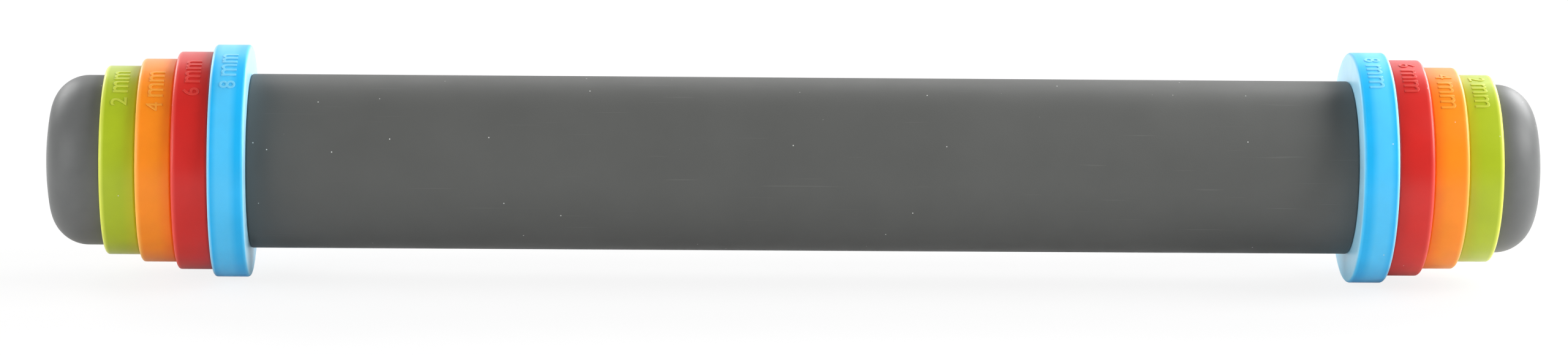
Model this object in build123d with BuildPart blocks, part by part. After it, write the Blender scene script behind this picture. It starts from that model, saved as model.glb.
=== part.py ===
"""Adjustable rolling pin: a silicone-covered roller with four removable spacer rings at each end.

Each ring stands a set height above the roller, so the largest ring left on sets how thick the
dough is rolled. The rings slide over a keyed spigot and a push-fit domed cap keeps them there.
Millimetres. X runs along the pin, Z is up, and the origin is on the ground under its middle.
The left cap is the longer one, so the roller stands a little to the right of that middle.
"""

import os
from math import sqrt

from build123d import *

os.makedirs("parts", exist_ok=True)

# Roller: rolling surface and the tube under it
roller_length = 304.0
roller_radius = 24.0
sleeve_thickness = 2.5
sleeve_edge_round = 0.6
tube_wall = 2.5

# Spacer rings, from the roller outwards: the name gives how far each stands out of the roller
ring_heights = {"ring_8mm": 8.0, "ring_6mm": 6.0, "ring_4mm": 4.0, "ring_2mm": 2.0}
ring_width = 9.8
ring_edge_round = 0.9
ring_rim_wall = 4.0
ring_hub_wall = 2.0
ring_web = 3.0
ring_rib_width = 2.0
ring_ribs = 6

# End hub: flange, plug in the tube, and spigot with keys
flange_thickness = 3.0
plug_length = 26.0
spigot_inset = 3.0
spigot_wall = 4.0
spigot_setback = 0.5
spigot_chamfer = 1.0
key_height = 1.5
key_width = 4.0
key_count = 3
socket_spare_depth = 3.5
socket_web = 4.0
socket_chamfer = 0.8

# End cap: dome, disc and stem
cap_lengths = {"left": 16.3, "right": 13.1}
cap_inset = 0.6
cap_wall = 2.5
cap_shoulder_radius = 10.3
cap_crown_radius = 80.0
cap_end_flat_radius = 4.0
cap_disc_thickness = 2.4
cap_boss_radius = 4.0
cap_rim_round = 0.4
stem_length = 30.0
stem_wall = 3.6
stem_chamfer = 1.0

# Rubber rings
seal_section_radius = 0.95
seal_setback = 5.0
grip_section_radius = 1.0
grip_setbacks = (9.0, 23.0)

# Screws
hub_screw_radius = 1.5
hub_screw_head_radius = 2.9
hub_screw_length = 8.0
hub_screw_setback = 16.0
hub_screw_count = 3
cap_screw_radius = 1.5
cap_screw_head_radius = 2.8
cap_screw_head_height = 2.0
cap_screw_length = 10.0
screw_recess_width = 0.8
screw_recess_depth = 0.9

# Clearances
stack_gap = 0.1
slide_clearance = 0.08
key_clearance = 0.15
seat_clearance = 0.05
grip_clearance = 0.03
groove_play = 0.25

# Sizes that follow from the ones above
axis_height = roller_radius + max(ring_heights.values())
half_length = roller_length / 2
roller_middle = (cap_lengths["left"] - cap_lengths["right"]) / 2
core_radius = roller_radius - sleeve_thickness
tube_bore = core_radius - tube_wall
ring_pitch = ring_width + stack_gap
stack_length = len(ring_heights) * ring_pitch
cap_face = stack_length + stack_gap
spigot_length = stack_length - spigot_setback
# The spigot stays inside the tube's bore, and the cap inside the roller's surface
spigot_radius = tube_bore - spigot_inset
cap_radius = roller_radius - cap_inset
socket_radius = spigot_radius - spigot_wall
stem_radius = socket_radius - slide_clearance
stem_hollow_radius = stem_radius - stem_wall
socket_bottom = cap_face - stem_length - socket_spare_depth
cap_cavity_radius = cap_radius - cap_wall
hub_screw_distance = -flange_thickness - hub_screw_setback
# The flat screw heads lie deep enough for their rims to stay under the tube's round surface
hub_screw_head_top = sqrt(core_radius**2 - hub_screw_head_radius**2) - 2 * seat_clearance
pin_axis = Axis((0, 0, axis_height), (1, 0, 0))
sides = {"left": -1, "right": 1}


def end_plane(side, distance=0.0):
    """Plane square to the pin, a distance outside the roller's end, facing outwards, its x up."""
    origin = (roller_middle + side * (half_length + distance), 0, axis_height)
    return Plane(origin=origin, x_dir=(0, 0, 1), z_dir=(side, 0, 0))


def inward_plane(side, distance=0.0):
    """The same plane facing the middle of the roller."""
    origin = (roller_middle + side * (half_length + distance), 0, axis_height)
    return Plane(origin=origin, x_dir=(0, 0, 1), z_dir=(-side, 0, 0))


def profile_plane(side):
    """Upright plane through the axis: x runs outwards from the roller's end, y is the radius."""
    origin = (roller_middle + side * half_length, 0, axis_height)
    return Plane(origin=origin, x_dir=(side, 0, 0), z_dir=(0, -side, 0))


def radial_planes(side, distance, radius, count):
    """Planes on the outside of a cylinder of the pin, evenly spaced round it from the lowest place."""
    centre = Vector(roller_middle + side * (half_length + distance), 0, axis_height)
    outwards = [Vector(0, 0, -1).rotate(Axis.X, turn * 360 / count) for turn in range(count)]
    return [Plane(origin=centre + way * radius, x_dir=(1, 0, 0), z_dir=way) for way in outwards]


def save(piece, name):
    """Label a finished piece with its name and write it out."""
    piece.part.label = name
    export_step(piece.part, f"parts/{name}.step")


# Silicone sleeve, the rolling surface
with BuildPart() as roller_sleeve:
    with BuildSketch(Plane(origin=(roller_middle, 0, axis_height), x_dir=(0, 0, 1), z_dir=(1, 0, 0))):
        Circle(roller_radius)
        Circle(core_radius, mode=Mode.SUBTRACT)
    extrude(amount=half_length, both=True)
    sleeve_circles = roller_sleeve.edges().filter_by(GeomType.CIRCLE).group_by(SortBy.RADIUS)
    fillet(sleeve_circles[-1], radius=sleeve_edge_round)
save(roller_sleeve, "roller_sleeve")


# Aluminium tube inside the sleeve, between the two hub flanges
with BuildPart() as core_tube:
    with BuildSketch(Plane(origin=(roller_middle, 0, axis_height), x_dir=(0, 0, 1), z_dir=(1, 0, 0))):
        Circle(core_radius - seat_clearance)
        Circle(tube_bore, mode=Mode.SUBTRACT)
    extrude(amount=half_length - flange_thickness, both=True)
    for side in sides.values():
        with Locations(*radial_planes(side, hub_screw_distance, core_radius, hub_screw_count)):
            CounterSinkHole(
                radius=hub_screw_radius + seat_clearance,
                counter_sink_radius=hub_screw_head_radius + core_radius - hub_screw_head_top,
                depth=tube_wall + seat_clearance,
                counter_sink_angle=90,
            )
save(core_tube, "core_tube")


def make_end_hub(side, name):
    """Moulded hub: plug in the tube, flange on its end, keyed spigot with the cap's socket."""
    inner_end = -flange_thickness - plug_length
    seal_floor = tube_bore - 2 * seal_section_radius - 2 * seat_clearance
    seal_width = 2 * seal_section_radius + 2 * groove_play
    with BuildPart() as hub:
        with BuildSketch(end_plane(side, inner_end)):
            Circle(tube_bore - seat_clearance)
        extrude(amount=plug_length)
        with BuildSketch(end_plane(side, -flange_thickness)):
            Circle(core_radius - seat_clearance)
        extrude(amount=flange_thickness)
        with BuildSketch(end_plane(side)):
            Circle(spigot_radius)
        extrude(amount=spigot_length)
        spigot_end_edges = hub.faces().sort_by(Axis.X)[-1 if side > 0 else 0].edges()
        chamfer(spigot_end_edges, length=spigot_chamfer)
        # Keys that turn the rings with the roller
        with BuildSketch(end_plane(side)):
            with PolarLocations(spigot_radius, key_count):
                Rectangle(2 * key_height, key_width)
        extrude(amount=spigot_length - spigot_chamfer)
        # Socket for the cap's stem, and the core taken out of the plug from inside
        with BuildSketch(end_plane(side, socket_bottom)):
            Circle(socket_radius)
        extrude(amount=spigot_length - socket_bottom, mode=Mode.SUBTRACT)
        mouth = hub.faces().sort_by(Axis.X)[-1 if side > 0 else 0].edges().sort_by(SortBy.RADIUS)[0]
        chamfer(mouth, length=socket_chamfer)
        with BuildSketch(end_plane(side, inner_end)):
            Circle(socket_radius)
        extrude(amount=socket_bottom - socket_web - inner_end, mode=Mode.SUBTRACT)
        # Groove for the seal, and pilot holes for the screws
        with BuildSketch(inward_plane(side, -flange_thickness - seal_setback + seal_width / 2)):
            Circle(tube_bore)
            Circle(seal_floor, mode=Mode.SUBTRACT)
        extrude(amount=seal_width, mode=Mode.SUBTRACT)
        with Locations(*radial_planes(side, hub_screw_distance, core_radius, hub_screw_count)):
            Hole(radius=hub_screw_radius + seat_clearance, depth=core_radius - socket_radius)
    save(hub, name)


def make_rubber_rings(side, name, ring_places, section_radius, outer_radius):
    """Rubber rings of round section, squeezed under their outer radius, at places along the pin."""
    with BuildPart() as rubber:
        with BuildSketch(profile_plane(side)):
            for place in ring_places:
                with Locations((place, outer_radius - section_radius)):
                    Circle(section_radius)
        revolve(axis=pin_axis)
    save(rubber, name)


def make_hub_screws(side, name):
    """Countersunk screws that pin the tube to the hub, with cross recesses."""
    head_height = hub_screw_head_radius - hub_screw_radius
    top = (Align.CENTER, Align.CENTER, Align.MAX)
    recess_length = 2 * hub_screw_radius
    with BuildPart() as screws:
        with Locations(*radial_planes(side, hub_screw_distance, hub_screw_head_top, hub_screw_count)):
            Cylinder(hub_screw_radius, hub_screw_length, align=top)
            Cone(hub_screw_radius, hub_screw_head_radius, head_height, align=top)
            Box(recess_length, screw_recess_width, screw_recess_depth, align=top, mode=Mode.SUBTRACT)
            Box(screw_recess_width, recess_length, screw_recess_depth, align=top, mode=Mode.SUBTRACT)
    save(screws, name)


def make_ring(side, name, ring_radius, inner_face):
    """Spacer ring: solid rim, keyed bore, and a ribbed recess hidden by the next ring."""
    recess_outer = ring_radius - ring_rim_wall
    recess_inner = spigot_radius + key_height + key_clearance + ring_hub_wall
    with BuildPart() as ring:
        with BuildSketch(end_plane(side, inner_face)):
            Circle(ring_radius)
        extrude(amount=ring_width)
        fillet(ring.edges().filter_by(GeomType.CIRCLE), radius=ring_edge_round)
        with BuildSketch(end_plane(side, inner_face)):
            Circle(spigot_radius + slide_clearance)
            with PolarLocations(spigot_radius, key_count):
                Rectangle(2 * (key_height + key_clearance), key_width + 2 * key_clearance)
        extrude(amount=ring_width, mode=Mode.SUBTRACT)
        with BuildSketch(end_plane(side, inner_face + ring_web)):
            Circle(recess_outer)
            Circle(recess_inner, mode=Mode.SUBTRACT)
            with PolarLocations(recess_outer / 2, ring_ribs):
                Rectangle(recess_outer, ring_rib_width, mode=Mode.SUBTRACT)
        extrude(amount=ring_width - ring_web, mode=Mode.SUBTRACT)
    save(ring, name)


def make_cap_shell(side, name, cap_length):
    """Domed cap: short straight side, round shoulder, shallow crown with a small flat, hollow."""
    crown_rise = sqrt(cap_crown_radius**2 - cap_end_flat_radius**2)
    crown_centre = cap_face + cap_length - crown_rise
    reach = cap_crown_radius - cap_shoulder_radius
    shoulder_offset = cap_radius - cap_shoulder_radius
    shoulder_start = crown_centre + sqrt(reach**2 - shoulder_offset**2)
    grow_share = cap_crown_radius / reach
    blend_place = crown_centre + (shoulder_start - crown_centre) * grow_share
    blend_radius = shoulder_offset * grow_share
    cap_end = cap_face + cap_length
    with BuildPart() as shell:
        with BuildSketch(profile_plane(side)):
            with BuildLine():
                straight = Polyline((cap_face, 0), (cap_face, cap_radius), (shoulder_start, cap_radius))
                shoulder = TangentArc(straight @ 1, (blend_place, blend_radius), tangent=straight % 1)
                crown = TangentArc(shoulder @ 1, (cap_end, cap_end_flat_radius), tangent=shoulder % 1)
                Polyline(crown @ 1, (cap_end, 0), (cap_face, 0))
            make_face()
        revolve(axis=pin_axis)
        rim = shell.faces().sort_by(Axis.X)[0 if side > 0 else -1]
        offset(amount=-cap_wall, openings=rim)
        rim_edges = shell.faces().sort_by(Axis.X)[0 if side > 0 else -1].edges()
        fillet(rim_edges.sort_by(SortBy.RADIUS)[-1], radius=cap_rim_round)
        # Boss for the screw, from the dome down to the disc
        boss_start = cap_face + cap_disc_thickness + seat_clearance
        with BuildSketch(end_plane(side, boss_start)):
            Circle(cap_boss_radius)
        extrude(amount=cap_end - cap_wall / 2 - boss_start)
        with BuildSketch(end_plane(side, boss_start)):
            Circle(cap_screw_radius + seat_clearance)
        extrude(amount=cap_screw_length - cap_disc_thickness, mode=Mode.SUBTRACT)
    save(shell, name)


def make_cap_plug(side, name):
    """Disc that closes the cap, with a hollow stem that pushes into the hub's socket."""
    groove_floor = socket_radius - grip_clearance - 2 * grip_section_radius - seat_clearance
    groove_width = 2 * grip_section_radius + 2 * groove_play
    with BuildPart() as plug:
        with BuildSketch(end_plane(side, cap_face)):
            Circle(cap_cavity_radius - seat_clearance)
        extrude(amount=cap_disc_thickness)
        with BuildSketch(inward_plane(side, cap_face)):
            Circle(stem_radius)
        extrude(amount=stem_length)
        stem_tip = plug.faces().sort_by(Axis.X)[0 if side > 0 else -1]
        chamfer(stem_tip.edges(), length=stem_chamfer)
        with BuildSketch(inward_plane(side, cap_face)):
            Circle(stem_hollow_radius)
        extrude(amount=stem_length, mode=Mode.SUBTRACT)
        for setback in grip_setbacks:
            with BuildSketch(inward_plane(side, cap_face - setback + groove_width / 2)):
                Circle(socket_radius)
                Circle(groove_floor, mode=Mode.SUBTRACT)
            extrude(amount=groove_width, mode=Mode.SUBTRACT)
        with BuildSketch(end_plane(side, cap_face)):
            Circle(cap_screw_radius + seat_clearance)
        extrude(amount=cap_disc_thickness, mode=Mode.SUBTRACT)
    save(plug, name)


def make_cap_screw(side, name):
    """Pan-head screw from inside the stem through the disc into the dome's boss."""
    recess_length = 2 * cap_screw_radius
    head_seat = cap_face - seat_clearance
    head_edge_round = cap_screw_head_height / 3
    with BuildPart() as screw:
        with BuildSketch(inward_plane(side, head_seat)):
            Circle(cap_screw_head_radius)
        extrude(amount=cap_screw_head_height)
        head_top = screw.faces().sort_by(Axis.X)[0 if side > 0 else -1]
        fillet(head_top.edges(), radius=head_edge_round)
        with BuildSketch(end_plane(side, head_seat)):
            Circle(cap_screw_radius)
        extrude(amount=cap_screw_length)
        with BuildSketch(end_plane(side, head_seat - cap_screw_head_height)):
            Rectangle(recess_length, screw_recess_width)
            Rectangle(screw_recess_width, recess_length)
        extrude(amount=screw_recess_depth, mode=Mode.SUBTRACT)
    save(screw, name)


# Both ends, alike but for the length of the cap, from the roller outwards
for end, side in sides.items():
    make_end_hub(side, f"{end}_end_hub")
    seal_place = -flange_thickness - seal_setback
    make_rubber_rings(side, f"{end}_hub_seal", [seal_place], seal_section_radius, tube_bore - seat_clearance)
    make_hub_screws(side, f"{end}_hub_screws")
    for position, (ring_name, ring_height) in enumerate(ring_heights.items()):
        inner_face = stack_gap + position * ring_pitch
        make_ring(side, f"{end}_{ring_name}", roller_radius + ring_height, inner_face)
    make_cap_shell(side, f"{end}_cap_shell", cap_lengths[end])
    make_cap_plug(side, f"{end}_cap_plug")
    grip_places = [cap_face - setback for setback in grip_setbacks]
    grip_outer = socket_radius - grip_clearance
    make_rubber_rings(side, f"{end}_cap_grip_rings", grip_places, grip_section_radius, grip_outer)
    make_cap_screw(side, f"{end}_cap_screw")

overall_length = roller_length + 2 * cap_face + sum(cap_lengths.values())
print(f"rolling length {roller_length}, over the caps {overall_length:.1f}")
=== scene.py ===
from math import acos, asin, atan2, ceil, cos, pi, radians, sin, sqrt

import bmesh
import bpy
from mathutils import Matrix, Vector


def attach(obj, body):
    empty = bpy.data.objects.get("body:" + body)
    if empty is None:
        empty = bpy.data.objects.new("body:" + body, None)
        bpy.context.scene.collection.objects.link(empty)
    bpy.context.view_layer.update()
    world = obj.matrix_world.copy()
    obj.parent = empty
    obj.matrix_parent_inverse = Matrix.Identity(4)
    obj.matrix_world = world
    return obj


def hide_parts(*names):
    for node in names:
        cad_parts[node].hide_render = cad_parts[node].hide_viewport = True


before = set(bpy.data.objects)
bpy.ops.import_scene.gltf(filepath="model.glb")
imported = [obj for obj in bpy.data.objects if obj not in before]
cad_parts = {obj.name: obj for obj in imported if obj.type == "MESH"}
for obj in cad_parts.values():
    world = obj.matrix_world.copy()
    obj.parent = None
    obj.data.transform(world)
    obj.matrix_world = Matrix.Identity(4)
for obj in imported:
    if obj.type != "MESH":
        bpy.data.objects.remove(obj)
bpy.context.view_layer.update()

# Silicone sleeve, the rolling surface: a dark grey moulded tube stretched over the aluminium
# core. Its skin is satin, with a fine mould grain, a little flour dust and faint drag marks.
mm = 0.001
axis_height = 32 * mm
roller_half = 152 * mm
roller_middle = 1.6 * mm
roller_radius = 24 * mm
sleeve_bore = 21.5 * mm
sleeve_edge_round = 0.6 * mm
pin_middle = Vector((0, 0, axis_height))
along_pin = Vector((1, 0, 0))
turn_steps = 240
edge_round_steps = 5
weld_reach = 0.001 * mm
near_enough = 0.01 * mm
corner_from = radians(30)
crease_from = radians(32)
# A noise keeps mostly between these, round a half
noise_low = 0.3
noise_high = 0.7
# How much of a fleck's reach is solid, before it fades
fleck_core = 0.6


def away_from_axis(place):
    """Distance of a point from the pin's axis."""
    return sqrt(place.y**2 + (place.z - axis_height) ** 2)


def wire(work, points):
    """Open line through (place along the pin, radius) points, in the upright plane of the axis."""
    corners = [work.verts.new((x, 0, axis_height + radius)) for x, radius in points]
    for first, second in zip(corners, corners[1:]):
        work.edges.new((first, second))
    return corners


def spin_round(work):
    """Turn what is drawn once round the pin, close its seam and poles, and face it one way."""
    bmesh.ops.spin(
        work, geom=work.verts[:] + work.edges[:], cent=pin_middle, axis=along_pin,
        angle=2 * pi, steps=turn_steps, use_merge=True,
    )
    bmesh.ops.remove_doubles(work, verts=work.verts[:], dist=weld_reach)
    bmesh.ops.recalc_face_normals(work, faces=work.faces[:])


def ease_edges(work, radius, amount, steps=edge_round_steps):
    """Round off the circular corners that lie at a radius."""
    rims = [
        edge for edge in work.edges
        if all(abs(away_from_axis(corner.co) - radius) < near_enough for corner in edge.verts)
        and abs(edge.verts[0].co.x - edge.verts[1].co.x) < weld_reach
        and edge.calc_face_angle(0) > corner_from
    ]
    bmesh.ops.bevel(
        work, geom=rims, offset=amount, segments=steps, profile=0.5,
        affect="EDGES", material=-1, clamp_overlap=False,
    )


def finished(work, name, body, material, stands_for=()):
    """Turn geometry drawn about the roller's middle into a smooth piece that rides on a body."""
    bmesh.ops.translate(work, verts=work.verts[:], vec=roller_middle * along_pin)
    bmesh.ops.recalc_face_normals(work, faces=work.faces[:])
    mesh = bpy.data.meshes.new(name)
    work.to_mesh(mesh)
    work.free()
    mesh.shade_smooth()
    mesh.set_sharp_from_angle(angle=crease_from)
    mesh.materials.append(material)
    piece = bpy.data.objects.new(name, mesh)
    bpy.context.scene.collection.objects.link(piece)
    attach(piece, body)
    if stands_for:
        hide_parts(*stands_for)
    return piece


def node(material, kind, sockets=None, **settings):
    """Add a shader node, with its settings, and values or links for its sockets."""
    made = material.node_tree.nodes.new("ShaderNode" + kind)
    for key, value in settings.items():
        setattr(made, key, value)
    for key, value in (sockets or {}).items():
        if isinstance(value, bpy.types.NodeSocket):
            material.node_tree.links.new(value, made.inputs[key])
        else:
            made.inputs[key].default_value = value
    return made


def rgba(colour):
    """The colour with full cover, as a shader socket takes it."""
    return (*colour, 1.0)


def lit(colour, factor):
    """The same colour, lighter or darker."""
    return rgba([min(1.0, part * factor) for part in colour])


def blended(material, share, first, second):
    """Colour that goes from the first to the second with the share."""
    mix = node(material, "Mix", {0: share, 6: first, 7: second}, data_type="RGBA")
    return mix.outputs[2]


def start_material(name, roughness, **even):
    """Material with a Principled shader and Object coordinates; even values sit on its sockets."""
    material = bpy.data.materials.new(name)
    material.use_nodes = True
    shader = material.node_tree.nodes["Principled BSDF"]
    shader.inputs["Roughness"].default_value = roughness
    for key, value in even.items():
        shader.inputs[key.replace("_", " ").title().replace("Ior", "IOR")].default_value = value
    place = node(material, "TexCoord").outputs["Object"]
    return material, shader, place


def clouded(material, place, size, low, high, detail=2.0):
    """Slow cloudy change between two values."""
    cloud = node(material, "TexNoise", {"Vector": place, "Scale": 1 / size, "Detail": detail})
    drift = {"Value": cloud.outputs[0], 1: noise_low, 2: noise_high, 3: low, 4: high}
    return node(material, "MapRange", drift).outputs[0]


def mottled(material, place, colour, size, swing, detail):
    """The colour, drifting in clouds a little darker and lighter."""
    worn = clouded(material, place, size, 0.0, 1.0, detail)
    return blended(material, worn, lit(colour, 1 - swing), lit(colour, 1 + swing))


def dusted(material, place, colour, cell, speck, share):
    """The colour with flecks of dust on it: small dots, in a share of the cells only."""
    cells = node(material, "TexVoronoi", {"Vector": place, "Scale": 1 / cell, "Randomness": 1.0})
    dot = {
        "Value": cells.outputs["Distance"],
        1: fleck_core * speck / cell, 2: speck / cell, 3: 1.0, 4: 0.0,
    }
    near = node(material, "MapRange", dot).outputs[0]
    draw = {0: cells.outputs["Color"], 1: 1 - share}
    picked = node(material, "Math", draw, operation="GREATER_THAN").outputs[0]
    flecks = node(material, "Math", {0: near, 1: picked}, operation="MULTIPLY").outputs[0]
    return blended(material, flecks, colour, rgba(dust_white))


def coat(material, shader, place, colour, size, swing):
    """Give the shader its colour, and a shine that drifts a little round its roughness."""
    plain = shader.inputs["Roughness"].default_value
    shine = clouded(material, place, size, plain - swing, plain + swing)
    material.node_tree.links.new(colour, shader.inputs["Base Color"])
    material.node_tree.links.new(shine, shader.inputs["Roughness"])


def grain(material, shader, place, size, height):
    """Press a fine mould texture into the surface, as bump."""
    rough = node(material, "TexNoise", {"Vector": place, "Scale": 1 / size, "Detail": 2.0})
    relief = {"Height": rough.outputs[0], "Distance": height, "Strength": 1.0}
    bump = node(material, "Bump", relief).outputs[0]
    material.node_tree.links.new(bump, shader.inputs["Normal"])


silicone_grey = (0.098, 0.100, 0.096)
dust_white = (0.72, 0.72, 0.70)
drag_stretch = (40, 1600, 1600)
drag_from = 0.72
drag_full = 0.8
drag_depth = 0.22
drag_lightness = 2.2
silicone, shader, place = start_material("silicone", 0.5, specular_ior_level=0.25)
colour = mottled(silicone, place, silicone_grey, size=30 * mm, swing=0.06, detail=4.0)
# Faint drag marks along the pin, thin and broken
stroked = node(silicone, "Mapping", {"Vector": place, "Scale": drag_stretch}).outputs[0]
strokes = node(silicone, "TexNoise", {"Vector": stroked, "Scale": 1.0, "Detail": 1.0}).outputs[0]
marked = {"Value": strokes, 1: drag_from, 2: drag_full, 3: 0.0, 4: drag_depth}
drags = node(silicone, "MapRange", marked).outputs[0]
colour = blended(silicone, drags, colour, lit(silicone_grey, drag_lightness))
colour = dusted(silicone, place, colour, cell=4.2 * mm, speck=0.2 * mm, share=0.45)
coat(silicone, shader, place, colour, size=12 * mm, swing=0.04)
grain(silicone, shader, place, size=0.35 * mm, height=0.02 * mm)

work = bmesh.new()
sleeve_section = [
    (-roller_half, sleeve_bore), (-roller_half, roller_radius),
    (roller_half, roller_radius), (roller_half, sleeve_bore), (-roller_half, sleeve_bore),
]
wire(work, sleeve_section)
spin_round(work)
ease_edges(work, roller_radius, sleeve_edge_round)
finished(work, "sleeve", "roller", silicone, ["roller_sleeve"])

# Spacer rings: satin moulded rings in four colours, one set at each end. A keyed bore slides on
# the hub, the outer face is hollowed between six ribs, and the edges are rounded for the hand.
ring_width = 9.8 * mm
ring_gap = 0.1 * mm
ring_pitch = ring_width + ring_gap
seam_closing = 0.045 * mm
ring_edge_round = 0.9 * mm
ring_edge_steps = 7
spigot_radius = 16 * mm
ring_bore = spigot_radius + 0.08 * mm
key_slot_radius = spigot_radius + 1.65 * mm
key_slot_half_width = 2.15 * mm
key_count = 3
pocket_inner = key_slot_radius + 2 * mm
rim_wall = 4 * mm
ring_web = 3 * mm
rib_half_width = 1 * mm
rib_faces_reach = 1.2 * mm
rib_count = 6
# Each ring's colour, and how far it stands above the roller
rings = {
    "8mm": ("blue", 8 * mm), "6mm": ("red", 6 * mm),
    "4mm": ("orange", 4 * mm), "2mm": ("green", 2 * mm),
}
ends = {"left": -1, "right": 1}
# Tints of the milky plastic, with shade and light painted in: full is painted shade next to the
# larger ring beside it (on the blue, bands near both edges), plain is the plastic's own colour,
# and pale is painted light at its exposed rounded edges. The shares give how far across the width,
# from the roller outwards, each is.
tints_and_painted_light = {
    "blue": {
        "painted_edge_light": (0.35, 0.72, 0.95), "full": (0.005, 0.44, 0.84), "plain": (0.07, 0.53, 0.89),
    },
    "red": {
        "painted_edge_light": (0.76, 0.08, 0.06), "full": (0.58, 0.012, 0.008), "plain": (0.59, 0.012, 0.008),
    },
    "orange": {
        "painted_edge_light": (0.94, 0.46, 0.08), "full": (0.88, 0.205, 0.002), "plain": (0.89, 0.25, 0.002),
    },
    "green": {
        "painted_edge_light": (0.76, 0.80, 0.12), "full": (0.44, 0.48, 0.008), "plain": (0.38, 0.48, 0.008),
    },
}
# Stops across the width for each tint: where the painted shade and the painted light sit.
blue_painted_light_shares = {
    0.0: "painted_edge_light", 0.03: "plain", 0.1: "full", 0.22: "full",
    0.42: "plain", 0.75: "plain", 0.91: "full", 1.0: "painted_edge_light",
}
other_painted_light_shares = {0.0: "full", 0.12: "full", 0.4: "plain", 0.86: "plain", 1.0: "painted_edge_light"}
milky_roughness = 0.38
milky_depth = {
    "specular_ior_level": 0.4, "sheen_weight": 0.2, "sheen_roughness": 0.35,
    "subsurface_weight": 0.3, "subsurface_scale": 2 * mm,
}


def ring_plastic(end, side, ring, inner_face, use, painted_lift):
    """Satin, slightly milky plastic, with shade and light painted into its tint across the ring's
    width; a share lifts it further towards the painted edge light.
    """
    shade = rings[ring][0]
    name = f"{shade}_{use}_{end}"
    material, shader, place = start_material(name, milky_roughness, **milky_depth)
    shader.inputs["Subsurface Radius"].default_value = (1.0, 1.0, 1.0)
    along = node(material, "SeparateXYZ", {"Vector": place}).outputs["X"]
    near = roller_middle + side * (roller_half + inner_face)
    far = near + side * ring_width
    across = node(material, "MapRange", {"Value": along, 1: near, 2: far}).outputs[0]
    # This ramp paints shade next to the larger ring and light at the exposed edges into the
    # colour.
    tint = node(material, "ValToRGB", {"Fac": across})
    stops = tint.color_ramp.elements
    for share, depth in (blue_painted_light_shares if shade == "blue" else other_painted_light_shares).items():
        stop = stops[-1] if share == 1 else stops[0] if share == 0 else stops.new(share)
        stop.color = rgba(tints_and_painted_light[shade][depth])
    # The letters' copy is lifted by a share towards the pale tint: painted light that offsets the
    # shade on the raised letters.
    colour = blended(material, painted_lift, tint.outputs[0], rgba(tints_and_painted_light[shade]["painted_edge_light"]))
    mottle = {0: colour, "Scale": clouded(material, place, 9 * mm, 0.96, 1.04, 3.0)}
    colour = node(material, "VectorMath", mottle, operation="SCALE").outputs[0]
    colour = dusted(material, place, colour, cell=3.6 * mm, speck=0.18 * mm, share=0.3)
    coat(material, shader, place, colour, size=7 * mm, swing=0.03)
    grain(material, shader, place, size=0.3 * mm, height=0.008 * mm)
    return material


def round_about(place):
    """Angle of a point round the pin, from the top."""
    return atan2(place.y, place.z - axis_height)


def nearest_of(count, turned):
    """Angle of the nearest of some evenly spaced slots or ribs."""
    return round(turned / (2 * pi / count)) * (2 * pi / count)


def square_sides(work, count, half_width, low, high):
    """Move the radial lines that bound a key slot or rib so that its two sides are parallel."""
    step = 2 * pi / turn_steps
    bound = max(1, round(half_width / ((low + high) / 2) / step))
    for corner in work.verts:
        radius = away_from_axis(corner.co)
        if not low - near_enough < radius < high + near_enough:
            continue
        turned = round_about(corner.co)
        nearest = nearest_of(count, turned)
        apart = turned - nearest
        if abs(abs(apart) - bound * step) < step / 4:
            angle = nearest + (1 if apart > 0 else -1) * asin(half_width / radius)
            corner.co.y = radius * sin(angle)
            corner.co.z = axis_height + radius * cos(angle)


def in_sector(face, count, half_width, low, high):
    """True where a face between two radii lies inside one of the evenly spaced sectors."""
    turned = round_about(face.calc_center_median())
    return abs(turned - nearest_of(count, turned)) < half_width / ((low + high) / 2)


def build_ring(end, side, ring, inner_face, material):
    """Flat ring with key slots, drawn out to its width, then hollowed between the ribs."""
    shade, height = rings[ring]
    radius = roller_radius + height
    rim_inner = radius - rim_wall
    near = side * (roller_half + inner_face - seam_closing)
    width = ring_width + 2 * seam_closing
    far = near + side * width
    work = bmesh.new()
    reaches = (ring_bore, key_slot_radius, pocket_inner, rim_inner, radius)
    wire(work, [(near, reach) for reach in reaches])
    spin_round(work)
    square_sides(work, key_count, key_slot_half_width, ring_bore, key_slot_radius)
    square_sides(work, rib_count, rib_half_width, pocket_inner, rim_inner)
    slots = [
        face for face in work.faces
        if away_from_axis(face.calc_center_median()) < key_slot_radius
        and in_sector(face, key_count, key_slot_half_width, ring_bore, key_slot_radius)
    ]
    bmesh.ops.delete(work, geom=slots, context="FACES")
    drawn = bmesh.ops.extrude_face_region(work, geom=work.faces[:])["geom"]
    moved = [part for part in drawn if isinstance(part, bmesh.types.BMVert)]
    bmesh.ops.translate(work, verts=moved, vec=side * width * along_pin)
    pockets = [
        face for face in work.faces
        if all(abs(corner.co.x - far) < near_enough for corner in face.verts)
        and pocket_inner < away_from_axis(face.calc_center_median()) < rim_inner
        and not in_sector(face, rib_count, rib_faces_reach, pocket_inner, rim_inner)
    ]
    sunk = bmesh.ops.extrude_face_region(work, geom=pockets)["geom"]
    floor = [part for part in sunk if isinstance(part, bmesh.types.BMVert)]
    bmesh.ops.translate(work, verts=floor, vec=-side * (width - ring_web) * along_pin)
    # The faces that the pockets were sunk from would stay as lids
    bmesh.ops.delete(work, geom=pockets, context="FACES")
    bmesh.ops.recalc_face_normals(work, faces=work.faces[:])
    ease_edges(work, radius, ring_edge_round, ring_edge_steps)
    body = f"{end}_ring_{ring}"
    finished(work, f"{end}_spacer_{ring}", body, material, [body])


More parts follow.
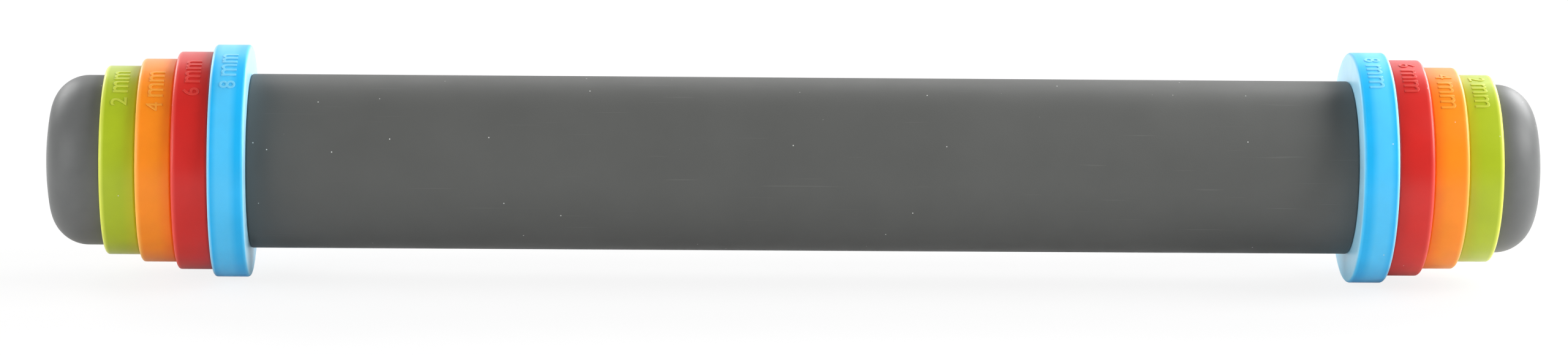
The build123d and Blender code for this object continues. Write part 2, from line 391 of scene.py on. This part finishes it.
# The raised marking on each ring is its height in millimetres. The words stand on the rim, read
# upwards at the left end and downwards at the right, and their tops point to the pin's ends.
camera_height_angle = 12.0
figure_height = 4.4 * mm
figure_width = 2.7 * mm
unit_height = 4.1 * mm
unit_width = 10.6 * mm
word_gap = 1.9 * mm
drawn_size = 6 * mm
stroke_trim = 0.04 * mm
letter_relief = 0.2 * mm
letter_sink = 0.12 * mm
letter_edge = 0.08 * mm
letter_strip = 1 * mm
# Share of painted light that lifts the letters towards the pale tint, against the shade on their
# sides.
figure_painted_lift = 0.3
# Where each marking starts round the rim, in degrees up from the line of sight
marking_starts = {
    "left": {"8mm": 37.6, "6mm": 35.7, "4mm": 28.3, "2mm": 34.5},
    "right": {"8mm": 70.0, "6mm": 72.7, "4mm": 66.6, "2mm": 73.3},
}


def lettering(words, width, height):
    """Flat raised letters as a mesh, drawn to a width and a height."""
    curve = bpy.data.curves.new("letters", "FONT")
    curve.body = words
    curve.size = drawn_size
    curve.resolution_u = 4
    curve.offset = -stroke_trim
    curve.extrude = (letter_relief + letter_sink) / 2 - letter_edge
    curve.bevel_depth = letter_edge
    curve.bevel_resolution = 2
    holder = bpy.data.objects.new("letters", curve)
    bpy.context.scene.collection.objects.link(holder)
    bpy.context.view_layer.update()
    shaped = holder.evaluated_get(bpy.context.evaluated_depsgraph_get())
    mesh = bpy.data.meshes.new_from_object(shaped)
    bpy.data.objects.remove(holder)
    bpy.data.curves.remove(curve)
    letters = bmesh.new()
    letters.from_mesh(mesh)
    bpy.data.meshes.remove(mesh)
    bmesh.ops.remove_doubles(letters, verts=letters.verts[:], dist=2 * weld_reach)
    left = min(corner.co.x for corner in letters.verts)
    right = max(corner.co.x for corner in letters.verts)
    low = min(corner.co.y for corner in letters.verts)
    high = max(corner.co.y for corner in letters.verts)
    bmesh.ops.translate(letters, verts=letters.verts[:], vec=(-left, -low, 0))
    sizes = (width / (right - left), height / (high - low), 1)
    bmesh.ops.scale(letters, verts=letters.verts[:], vec=sizes)
    return letters


def build_marking(end, side, ring, inner_face, material):
    """Letters of one ring, cut into narrow strips and bent round its rim."""
    shade, height = rings[ring]
    radius = roller_radius + height
    middle = roller_half + inner_face + ring_width / 2
    start = radians(marking_starts[end][ring] + camera_height_angle)
    work = bmesh.new()
    words = (
        (ring[0], figure_width, figure_height, 0),
        ("mm", unit_width, unit_height, figure_width + word_gap),
    )
    for word, word_width, word_height, shift in words:
        letters = lettering(word, word_width, word_height)
        for cut in range(1, ceil(word_width / letter_strip)):
            bmesh.ops.bisect_plane(
                letters, geom=letters.verts[:] + letters.edges[:] + letters.faces[:],
                plane_co=cut * letter_strip * along_pin, plane_no=along_pin, dist=weld_reach / 2,
            )
        bmesh.ops.translate(letters, verts=letters.verts[:], vec=shift * along_pin)
        part = bpy.data.meshes.new("word")
        letters.to_mesh(part)
        letters.free()
        work.from_mesh(part)
        bpy.data.meshes.remove(part)
    for corner in work.verts:
        run, rise, relief = corner.co
        angle = start - side * run / radius
        reach = radius + relief + (letter_relief - letter_sink) / 2
        corner.co = (
            side * (middle + rise - figure_height / 2),
            -reach * cos(angle),
            axis_height + reach * sin(angle),
        )
    name = f"{end}_marking_{ring}"
    finished(work, name, f"{end}_ring_{ring}", material)


for end, side in ends.items():
    for rings_before, ring in enumerate(rings):
        inner_face = ring_gap + rings_before * ring_pitch
        plastic = ring_plastic(end, side, ring, inner_face, "plastic", 0.0)
        build_ring(end, side, ring, inner_face, plastic)
        figures = ring_plastic(end, side, ring, inner_face, "figures", figure_painted_lift)
        build_marking(end, side, ring, inner_face, figures)

# End caps: domed shells of satin grey plastic, with a straight side, a round shoulder and a
# nearly flat crown. Each is screwed to its plug from inside and pushes into the hub.
cap_face = len(rings) * ring_pitch + ring_gap
cap_lengths = {"left": 16.3 * mm, "right": 13.1 * mm}
cap_radius = 23.4 * mm
cap_wall = 2.5 * mm
cap_shoulder = 10.3 * mm
cap_crown = 80 * mm
cap_flat = 4 * mm
cap_rim_round = 0.4 * mm
cap_rim_steps = 3
shoulder_steps = 16
crown_steps = 8
shoulder_centre = cap_radius - cap_shoulder
shoulder_turn = acos(shoulder_centre / (cap_crown - cap_shoulder))
crown_turn = acos(cap_flat / cap_crown) - shoulder_turn
cap_grey = (0.122, 0.126, 0.125)


def arc(work, start, centre, turn, steps):
    """Carry a line on from its last point along an arc, and give the new last point."""
    made = bmesh.ops.spin(
        work, geom=[start], cent=centre, axis=(0, 1, 0), angle=turn, steps=steps, use_merge=False
    )
    return next(part for part in made["geom_last"] if isinstance(part, bmesh.types.BMVert))


cap_plastic, shader, place = start_material("grey_plastic", 0.47, specular_ior_level=0.3)
colour = mottled(cap_plastic, place, cap_grey, size=6 * mm, swing=0.05, detail=5.0)
colour = dusted(cap_plastic, place, colour, cell=3.4 * mm, speck=0.13 * mm, share=0.35)
coat(cap_plastic, shader, place, colour, size=5 * mm, swing=0.02)
grain(cap_plastic, shader, place, size=0.3 * mm, height=0.01 * mm)

for end, side in ends.items():
    crown_centre = cap_face + cap_lengths[end] - sqrt(cap_crown**2 - cap_flat**2)
    shoulder_start = crown_centre + sqrt((cap_crown - cap_shoulder) ** 2 - shoulder_centre**2)
    at_shoulder = (roller_half + shoulder_start, 0, axis_height + shoulder_centre)
    at_crown = (roller_half + crown_centre, 0, axis_height)
    work = bmesh.new()
    rims = []
    for reach in (cap_radius, cap_radius - cap_wall):
        straight_side = [(roller_half + cap_face, reach), (roller_half + shoulder_start, reach)]
        rim, turning = wire(work, straight_side)
        rims.append(rim)
        turning = arc(work, turning, at_shoulder, shoulder_turn, shoulder_steps)
        turning = arc(work, turning, at_crown, crown_turn, crown_steps)
        pole = work.verts.new((turning.co.x, 0, axis_height))
        work.edges.new((turning, pole))
    work.edges.new(rims)
    bmesh.ops.remove_doubles(work, verts=work.verts[:], dist=weld_reach)
    spin_round(work)
    ease_edges(work, cap_radius, cap_rim_round, cap_rim_steps)
    bmesh.ops.scale(work, verts=work.verts[:], vec=(side, 1, 1))
    finished(work, f"{end}_dome", f"{end}_cap", cap_plastic, [f"{end}_cap_shell"])

# Hubs, plugs, tube, rubber rings and screws: the hidden parts keep their CAD shapes. The hubs
# and plugs are plain moulded plastic, the tube is drawn aluminium, and the screws are steel.
as_moulded = (1, 1, 1)
drawn_along = (0.03, 1, 1)
turned_round = (1, 0.1, 1)
# Each finish has its tint, roughness and metal, then its grain's direction, size and height
inner_finishes = {
    "hub_plastic": ((0.16, 0.16, 0.165), 0.48, 0.0, as_moulded, 0.3 * mm, 0.01 * mm),
    "tube_aluminium": ((0.72, 0.73, 0.74), 0.3, 1.0, drawn_along, 0.2 * mm, 0.01 * mm),
    "seal_rubber": ((0.03, 0.03, 0.032), 0.62, 0.0, as_moulded, 0.15 * mm, 0.01 * mm),
    "screw_steel": ((0.6, 0.6, 0.61), 0.32, 1.0, turned_round, 0.1 * mm, 0.004 * mm),
}
end_parts = {
    "end_hub": "hub_plastic", "hub_seal": "seal_rubber", "hub_screws": "screw_steel",
    "cap_plug": "hub_plastic", "cap_grip_rings": "seal_rubber", "cap_screw": "screw_steel",
}
inner_parts = {"core_tube": "tube_aluminium"}
for end in ends:
    inner_parts.update({f"{end}_{part}": finish for part, finish in end_parts.items()})

inner_materials = {}
for finish, (tint, roughness, metal, direction, size, height) in inner_finishes.items():
    material, shader, place = start_material(finish, roughness, metallic=metal)
    colour = mottled(material, place, tint, size=5 * mm, swing=0.08, detail=4.0)
    coat(material, shader, place, colour, size=4 * mm, swing=0.05)
    drawn_out = node(material, "Mapping", {"Vector": place, "Scale": direction}).outputs[0]
    grain(material, shader, drawn_out, size, height)
    inner_materials[finish] = material
for name, finish in inner_parts.items():
    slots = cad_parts[name].data.materials
    slots.clear()
    slots.append(inner_materials[finish])

# Studio: a wide white table that runs on to a white surround, and large soft lamps. What the
# camera sees of the table is lifted to white, and the pin's soft shadow stays on it.
table_size = 9.0
table_dull = (0.84, 0.84, 0.84)
table_bright = (0.86, 0.86, 0.86)
table_lift = 0.86
shadow_reach = 0.5
white_from = 1.2
surround_fill = 0.3
# Each lamp has its place and its size in metres, and its power in watts
lamps = {
    "right_softbox": ((1.3, -0.2, 0.8), (0.9, 0.9), 27.0),
    "left_softbox": ((-1.3, -0.8, 0.5), (1.1, 0.9), 12.5),
    "back_screen": ((0, 1.5, 0.4), (3.0, 0.7), 3.0),
    "high_back_softbox": ((0, 1.3, 1.0), (2.4, 0.45), 5.5),
    "right_back_softbox": ((0.9, 0.9, 0.7), (0.7, 0.7), 15.0),
    "left_back_softbox": ((-0.9, 0.9, 0.7), (0.7, 0.7), 8.5),
}


def seen_directly(owner):
    """One where the camera looks at a surface, straight or through another, and else zero."""
    rays = node(owner, "LightPath").outputs
    looks = {0: rays["Is Camera Ray"], 1: rays["Is Transmission Ray"]}
    return node(owner, "Math", looks, operation="MAXIMUM").outputs[0]


table, shader, place = start_material("white_table", 0.9)
clouds = clouded(table, place, 20 * mm, 0.0, 1.0)
paper = blended(table, clouds, rgba(table_dull), rgba(table_bright))
table.node_tree.links.new(paper, shader.inputs["Base Color"])
# Away from the pin and its shadow, the camera sees the table plain white
distance = node(table, "VectorMath", {0: place}, operation="LENGTH").outputs["Value"]
fade = {"Value": distance, 1: shadow_reach, 2: white_from, 3: table_lift, 4: 1.0}
lift_here = node(table, "MapRange", fade).outputs[0]
seen = seen_directly(table)
lift = node(table, "Math", {0: seen, 1: lift_here}, operation="MULTIPLY").outputs[0]
glow = node(table, "Emission", {"Color": rgba((1, 1, 1)), "Strength": 1.0}).outputs[0]
whole = node(table, "MixShader", {0: lift, 1: shader.outputs[0], 2: glow}).outputs[0]
out = table.node_tree.nodes["Material Output"]
table.node_tree.links.new(whole, out.inputs["Surface"])
work = bmesh.new()
bmesh.ops.create_grid(work, x_segments=1, y_segments=1, size=table_size / 2)
mesh = bpy.data.meshes.new("table_top")
work.to_mesh(mesh)
work.free()
mesh.materials.append(table)
table_top = bpy.data.objects.new("table_top", mesh)
bpy.context.scene.collection.objects.link(table_top)

world = bpy.data.worlds.new("surround")
bpy.context.scene.world = world
world.use_nodes = True
backdrop = world.node_tree.nodes["Background"]
backdrop.inputs["Color"].default_value = rgba((1, 1, 1))
seen = seen_directly(world)
level = node(world, "MapRange", {"Value": seen, 3: surround_fill, 4: 1.0}).outputs[0]
world.node_tree.links.new(level, backdrop.inputs["Strength"])

for name, (stand, size, power) in lamps.items():
    light = bpy.data.lights.new(name, "AREA")
    light.shape = "RECTANGLE"
    light.size, light.size_y = size
    light.energy = power
    lamp = bpy.data.objects.new(name, light)
    facing = (pin_middle - Vector(stand)).to_track_quat("-Z", "Y")
    lamp.matrix_world = Matrix.Translation(stand) @ facing.to_matrix().to_4x4()
    bpy.context.scene.collection.objects.link(lamp)

# Camera: a long lens in front of the left part of the pin, 12 degrees above it. It is turned to
# the right to take in all of the pin, and tipped and rolled a little, as the photograph's was.
lens_length = 110.19
film_width = 36.0
camera_distance = 1331.14 * mm
camera_shift = 51.97 * mm
turned_right = 0.0354
tipped_down = 0.0028
rolled = 0.0063
height_angle = radians(camera_height_angle)
level_ahead = Vector((0, cos(height_angle), -sin(height_angle)))
level_up = Vector((0, sin(height_angle), cos(height_angle)))
turned_ahead = sin(turned_right) * along_pin + cos(turned_right) * level_ahead
turned_side = cos(turned_right) * along_pin - sin(turned_right) * level_ahead
ahead = cos(tipped_down) * turned_ahead - sin(tipped_down) * level_up
tipped_up = cos(tipped_down) * level_up + sin(tipped_down) * turned_ahead
right = cos(rolled) * turned_side + sin(rolled) * tipped_up
up = cos(rolled) * tipped_up - sin(rolled) * turned_side
lens = bpy.data.cameras.new("camera")
lens.sensor_fit = "HORIZONTAL"
lens.sensor_width = film_width
lens.lens = lens_length
camera = bpy.data.objects.new("camera", lens)
stand = pin_middle - camera_distance * level_ahead + (roller_middle - camera_shift) * along_pin
camera.matrix_world = Matrix.Translation(stand) @ Matrix((right, up, -ahead)).transposed().to_4x4()
bpy.context.scene.collection.objects.link(camera)
bpy.context.scene.camera = camera
bpy.context.scene.view_settings.view_transform = "Standard"
